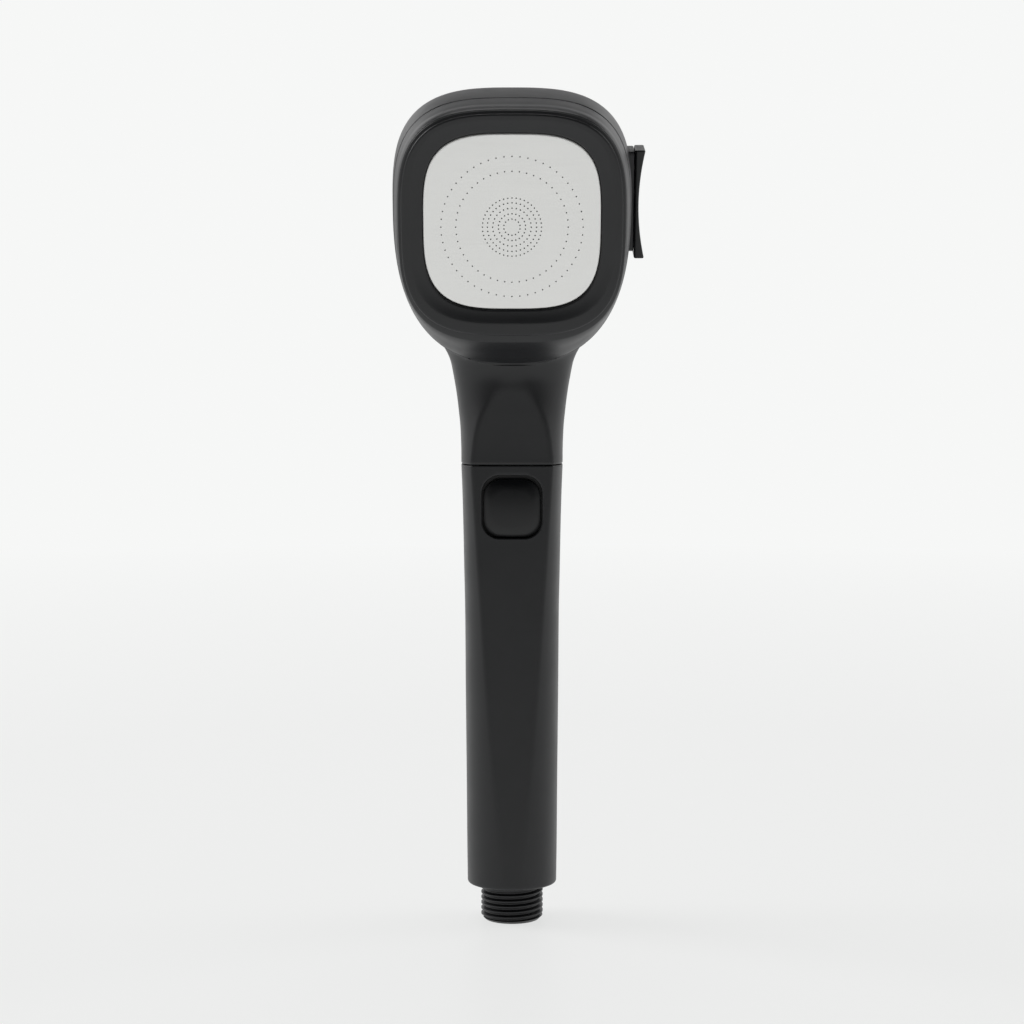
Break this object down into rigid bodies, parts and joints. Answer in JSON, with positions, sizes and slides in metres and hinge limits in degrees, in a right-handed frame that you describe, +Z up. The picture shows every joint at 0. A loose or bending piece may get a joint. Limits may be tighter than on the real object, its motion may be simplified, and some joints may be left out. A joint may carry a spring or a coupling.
{
  "type": "shower_head",
  "caption": "Matte black handheld shower head with a rounded-square brushed steel spray plate, a stop button on the handle and a thumb slider on the side",
  "frame": {"origin": "centre of the flat end of the threaded inlet, on the handle's axis", "axes": "+Z up along the handle, -Y the side the spray leaves from, +X the side with the slider"},
  "size_m": [0.0832, 0.069, 0.2789],
  "materials": {
    "black_satin": "satin",
    "button_black": "satin",
    "brushed_plate": "brushed",
    "steel": "plain",
    "inner_plastic": "moulded",
    "acetal_white": "smooth",
    "brass": "machined",
    "filter_fibre": "felted",
    "rubber": "matte"
  },
  "bodies": {
    "root": {"handle_shell": "black_satin", "rear_shell": "black_satin", "front_band": "black_satin", "front_cover": "black_satin", "slider_track": "black_satin", "inlet_nipple": "black_satin", "spray_plate": "brushed_plate", "manifold_screws": "steel", "diverter_screws": "steel", "inlet_screen": "steel", "water_tube": "inner_plastic", "filter_core": "inner_plastic", "filter_lower_cap": "inner_plastic", "filter_upper_cap": "inner_plastic", "neck_sleeve": "inner_plastic", "waterway_pipe": "inner_plastic", "spray_manifold": "inner_plastic", "diverter_body": "inner_plastic", "flow_regulator": "inner_plastic", "valve_gland": "brass", "valve_body": "brass", "filter_media": "filter_fibre", "button_boot": "rubber", "nipple_oring": "rubber", "filter_seal": "rubber", "tube_oring": "rubber", "plate_gasket": "rubber", "diverter_gasket": "rubber"},
    "button": {"stop_button": "button_black", "valve_stem": "acetal_white", "stem_oring": "rubber"},
    "selector": {"selector_slider": "button_black", "diverter_spool": "acetal_white", "spool_orings": "rubber"}
  },
  "joints": [
    {"name": "button_push", "type": "slide", "parent": "root", "child": "button", "axis": [0, 1, 0], "range_m": [0, 0.0024], "stiffness_N_per_m": 500, "springref_m": -0.002, "deforming": ["button_boot"]},
    {"name": "selector_slide", "type": "slide", "parent": "root", "child": "selector", "axis": [0, -0.2419, 0.9703], "range_m": [-0.00142, 0.00142]}
  ]
}
